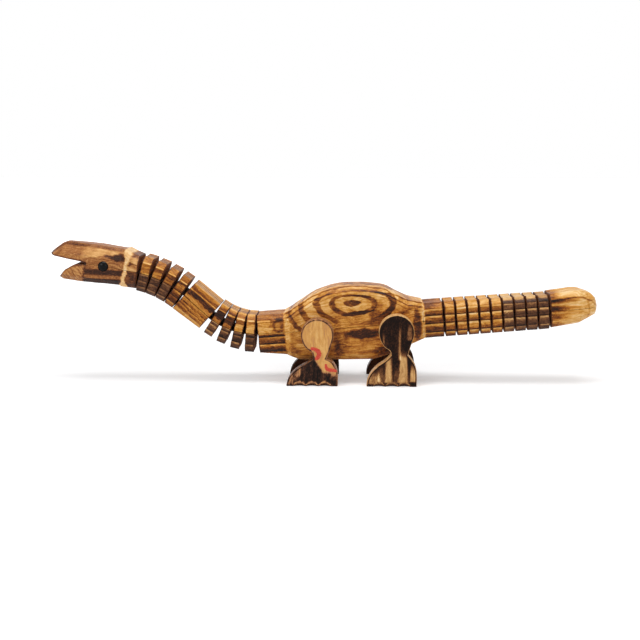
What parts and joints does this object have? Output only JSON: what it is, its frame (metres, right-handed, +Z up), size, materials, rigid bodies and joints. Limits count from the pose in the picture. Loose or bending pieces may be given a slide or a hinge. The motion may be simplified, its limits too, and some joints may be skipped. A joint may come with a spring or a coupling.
{
  "type": "wooden dinosaur toy",
  "caption": "Long-necked toy dinosaur of carved pine, its neck and tail sawn into pieces that bend up and down on a glued flexible strip",
  "frame": {"origin": "on the ground, midway between the snout and the tip of the tail and midway across", "axes": "X runs from head to tail, Y across from the toy's left to its right, Z up"},
  "size_m": [0.3582, 0.049, 0.0921],
  "materials": {
    "pine_golden": "clear gloss lacquer over lightly scorched pine",
    "pine_scorched": "clear gloss lacquer over darkly scorched pine",
    "leg_pale": "clear lacquer over pale sawn pine, foot scorched",
    "leg_dark": "clear lacquer over scorched pine with pale streaks",
    "eye_black": "polished black",
    "strip_leather": "dark thin leather",
    "dowel_beech": "bare turned wood"
  },
  "bodies": {
    "body": {"body_upper": "pine_golden", "body_lower": "pine_golden", "flex_strip": "strip_leather", "front_left_leg": "leg_pale", "front_right_leg": "leg_dark", "rear_left_leg": "leg_dark", "rear_right_leg": "leg_dark", "leg_dowels": "dowel_beech"},
    "neck_8": {"neck_8_upper": "pine_golden", "neck_8_lower": "pine_scorched"},
    "neck_7": {"neck_7_upper": "pine_golden", "neck_7_lower": "pine_scorched"},
    "neck_6": {"neck_6_upper": "pine_golden", "neck_6_lower": "pine_scorched"},
    "neck_5": {"neck_5_upper": "pine_golden", "neck_5_lower": "pine_scorched"},
    "neck_long": {"neck_long_upper": "pine_golden", "neck_long_lower": "pine_golden"},
    "neck_4": {"neck_4_upper": "pine_golden", "neck_4_lower": "pine_golden"},
    "neck_3": {"neck_3_upper": "pine_golden", "neck_3_lower": "pine_scorched"},
    "neck_2": {"neck_2_upper": "pine_golden", "neck_2_lower": "pine_scorched"},
    "neck_1": {"neck_1_upper": "pine_golden", "neck_1_lower": "pine_scorched"},
    "head": {"head_upper": "pine_golden", "head_lower": "pine_scorched", "eye_left": "eye_black", "eye_right": "eye_black"},
    "tail_1": {"tail_1_upper": "pine_golden", "tail_1_lower": "pine_golden"},
    "tail_2": {"tail_2_upper": "pine_golden", "tail_2_lower": "pine_golden"},
    "tail_3": {"tail_3_upper": "pine_golden", "tail_3_lower": "pine_golden"},
    "tail_4": {"tail_4_upper": "pine_golden", "tail_4_lower": "pine_golden"},
    "tail_5": {"tail_5_upper": "pine_golden", "tail_5_lower": "pine_golden"},
    "tail_6": {"tail_6_upper": "pine_scorched", "tail_6_lower": "pine_scorched"},
    "tail_7": {"tail_7_upper": "pine_scorched", "tail_7_lower": "pine_scorched"},
    "tail_8": {"tail_8_upper": "pine_scorched", "tail_8_lower": "pine_scorched"},
    "tail_9": {"tail_9_upper": "pine_scorched", "tail_9_lower": "pine_scorched"},
    "tail_tip": {"tail_tip_upper": "pine_golden", "tail_tip_lower": "pine_golden"}
  },
  "joints": [
    {"name": "neck_joint_1", "type": "hinge", "parent": "body", "child": "neck_8", "pos_m": [-0.04301, 0, 0.03211], "axis": [0, 1, 0], "range_deg": [-18.8, 0.7], "deforming": ["flex_strip"]},
    {"name": "neck_joint_2", "type": "hinge", "parent": "neck_8", "child": "neck_7", "pos_m": [-0.05108, 0, 0.03276], "axis": [0, 1, 0], "range_deg": [-19.4, 0.3], "deforming": ["flex_strip"]},
    {"name": "neck_joint_3", "type": "hinge", "parent": "neck_7", "child": "neck_6", "pos_m": [-0.05894, 0, 0.03472], "axis": [0, 1, 0], "range_deg": [-19.9, 0.3], "deforming": ["flex_strip"]},
    {"name": "neck_joint_4", "type": "hinge", "parent": "neck_6", "child": "neck_5", "pos_m": [-0.06638, 0, 0.03794], "axis": [0, 1, 0], "range_deg": [-20.6, 0.3], "deforming": ["flex_strip"]},
    {"name": "neck_joint_5", "type": "hinge", "parent": "neck_5", "child": "neck_long", "pos_m": [-0.07319, 0, 0.04233], "axis": [0, 1, 0], "range_deg": [-21, 1.4], "deforming": ["flex_strip"]},
    {"name": "neck_joint_6", "type": "hinge", "parent": "neck_long", "child": "neck_4", "pos_m": [-0.09089, 0, 0.05838], "axis": [0, 1, 0], "range_deg": [-1.4, 16], "deforming": ["flex_strip"]},
    {"name": "neck_joint_7", "type": "hinge", "parent": "neck_4", "child": "neck_3", "pos_m": [-0.09747, 0, 0.06311], "axis": [0, 1, 0], "range_deg": [-1.4, 15.9], "deforming": ["flex_strip"]},
    {"name": "neck_joint_8", "type": "hinge", "parent": "neck_3", "child": "neck_2", "pos_m": [-0.10454, 0, 0.06706], "axis": [0, 1, 0], "range_deg": [-1.4, 15.6], "deforming": ["flex_strip"]},
    {"name": "neck_joint_9", "type": "hinge", "parent": "neck_2", "child": "neck_1", "pos_m": [-0.11201, 0, 0.07018], "axis": [0, 1, 0], "range_deg": [-1.4, 15.4], "deforming": ["flex_strip"]},
    {"name": "neck_joint_10", "type": "hinge", "parent": "neck_1", "child": "head", "pos_m": [-0.11979, 0, 0.07244], "axis": [0, 1, 0], "range_deg": [-2.4, 15.9], "deforming": ["flex_strip"]},
    {"name": "tail_joint_1", "type": "hinge", "parent": "body", "child": "tail_1", "pos_m": [0.07976, 0, 0.04242], "axis": [0, -1, 0], "range_deg": [-5.4, 5.6], "deforming": ["flex_strip"]},
    {"name": "tail_joint_2", "type": "hinge", "parent": "tail_1", "child": "tail_2", "pos_m": [0.08733, 0, 0.04306], "axis": [0, -1, 0], "range_deg": [-5.4, 5.6], "deforming": ["flex_strip"]},
    {"name": "tail_joint_3", "type": "hinge", "parent": "tail_2", "child": "tail_3", "pos_m": [0.0949, 0, 0.04369], "axis": [0, -1, 0], "range_deg": [-5.4, 5.7], "deforming": ["flex_strip"]},
    {"name": "tail_joint_4", "type": "hinge", "parent": "tail_3", "child": "tail_4", "pos_m": [0.10248, 0, 0.04433], "axis": [0, -1, 0], "range_deg": [-5.4, 5.7], "deforming": ["flex_strip"]},
    {"name": "tail_joint_5", "type": "hinge", "parent": "tail_4", "child": "tail_5", "pos_m": [0.11005, 0, 0.04496], "axis": [0, -1, 0], "range_deg": [-5.4, 5.8], "deforming": ["flex_strip"]},
    {"name": "tail_joint_6", "type": "hinge", "parent": "tail_5", "child": "tail_6", "pos_m": [0.11762, 0, 0.0456], "axis": [0, -1, 0], "range_deg": [-5.4, 5.9], "deforming": ["flex_strip"]},
    {"name": "tail_joint_7", "type": "hinge", "parent": "tail_6", "child": "tail_7", "pos_m": [0.1252, 0, 0.04624], "axis": [0, -1, 0], "range_deg": [-5.4, 5.9], "deforming": ["flex_strip"]},
    {"name": "tail_joint_8", "type": "hinge", "parent": "tail_7", "child": "tail_8", "pos_m": [0.13277, 0, 0.04687], "axis": [0, -1, 0], "range_deg": [-5.3, 6], "deforming": ["flex_strip"]},
    {"name": "tail_joint_9", "type": "hinge", "parent": "tail_8", "child": "tail_9", "pos_m": [0.14034, 0, 0.04751], "axis": [0, -1, 0], "range_deg": [-5.3, 6.1], "deforming": ["flex_strip"]},
    {"name": "tail_joint_10", "type": "hinge", "parent": "tail_9", "child": "tail_tip", "pos_m": [0.14792, 0, 0.04814], "axis": [0, -1, 0], "range_deg": [-5.3, 6.1], "deforming": ["flex_strip"]}
  ]
}
